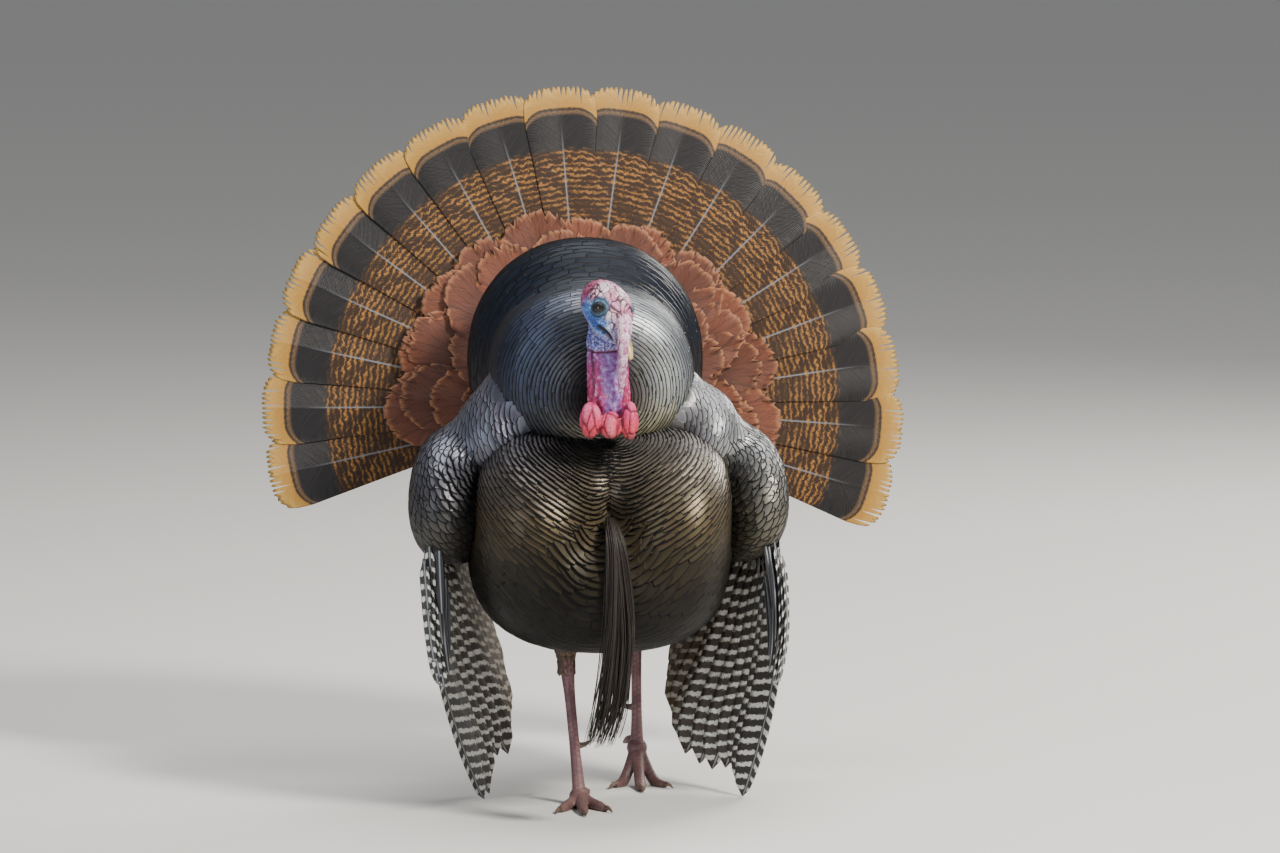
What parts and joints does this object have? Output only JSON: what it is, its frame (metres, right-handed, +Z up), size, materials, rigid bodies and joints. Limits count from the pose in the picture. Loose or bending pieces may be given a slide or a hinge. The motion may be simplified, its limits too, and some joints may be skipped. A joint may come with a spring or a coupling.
{
  "type": "wild turkey",
  "caption": "Strutting gobbler, life size and still: raised body feathers, upright fanned tail, drooped wings with tips on the floor, drawn-back head, hanging beard",
  "frame": {"origin": "On the floor, under the middle of the whole bird's box.", "axes": "+Z is up. -Y is the way the bird faces, and the tail fan stands at +Y. +X is the bird's left."},
  "size_m": [0.7512, 0.5432, 0.8035],
  "materials": {
    "feathers_bronze": "glossy bronze and copper body feathers with black edges",
    "feathers_silver": "silvery blue-grey feathers with black edges",
    "feathers_black": "glossy blue-black feathers",
    "feathers_chestnut": "matt chestnut feathers with paler rims",
    "feathers_tail": "tail feathers barred in black and orange-tan, with a black band and buff tips",
    "feathers_flight": "dark brown flight feathers barred with white",
    "feathers_down": "soft dull brown feathers",
    "skin_blue": "bare wrinkled skin, white on the crown and blue round the eye",
    "skin_red": "bare pink and red folded skin",
    "skin_leg": "scaled mauve-pink leg skin",
    "horn": "dark horn of claws and spurs",
    "bill": "pale yellow horn of the bill",
    "eye": "wet dark brown eye",
    "beard": "coarse black bristles"
  },
  "bodies": {
    "root": {"eye_right": "eye", "eye_left": "eye", "head": "skin_blue", "bill_upper": "bill", "bill_lower": "bill", "snood": "skin_red", "neck": "skin_red", "wattles": "skin_red", "belly": "feathers_bronze", "back": "feathers_black", "ruff": "feathers_silver", "breast_right": "feathers_bronze", "breast_left": "feathers_bronze", "shoulder_right": "feathers_silver", "shoulder_left": "feathers_silver", "wing_right": "feathers_bronze", "wing_left": "feathers_bronze", "primaries_right": "feathers_flight", "secondaries_right": "feathers_flight", "alula_right": "feathers_black", "primaries_left": "feathers_flight", "secondaries_left": "feathers_flight", "alula_left": "feathers_black", "tail_root": "feathers_down", "tail_feather_01": "feathers_tail", "tail_feather_02": "feathers_tail", "tail_feather_03": "feathers_tail", "tail_feather_04": "feathers_tail", "tail_feather_05": "feathers_tail", "tail_feather_06": "feathers_tail", "tail_feather_07": "feathers_tail", "tail_feather_08": "feathers_tail", "tail_feather_09": "feathers_tail", "tail_feather_10": "feathers_tail", "tail_feather_11": "feathers_tail", "tail_feather_12": "feathers_tail", "tail_feather_13": "feathers_tail", "tail_feather_14": "feathers_tail", "tail_feather_15": "feathers_tail", "tail_feather_16": "feathers_tail", "tail_feather_17": "feathers_tail", "tail_feather_18": "feathers_tail", "tail_coverts": "feathers_chestnut", "under_tail": "feathers_chestnut", "foot_right": "skin_leg", "claw_right_inner": "horn", "claw_right_middle": "horn", "claw_right_outer": "horn", "thigh_right": "feathers_down", "shank_right": "skin_leg", "spur_right": "horn", "foot_left": "skin_leg", "claw_left_inner": "horn", "claw_left_middle": "horn", "claw_left_outer": "horn", "thigh_left": "feathers_down", "shank_left": "skin_leg", "spur_left": "horn", "beard": "beard"}
  },
  "joints": []
}
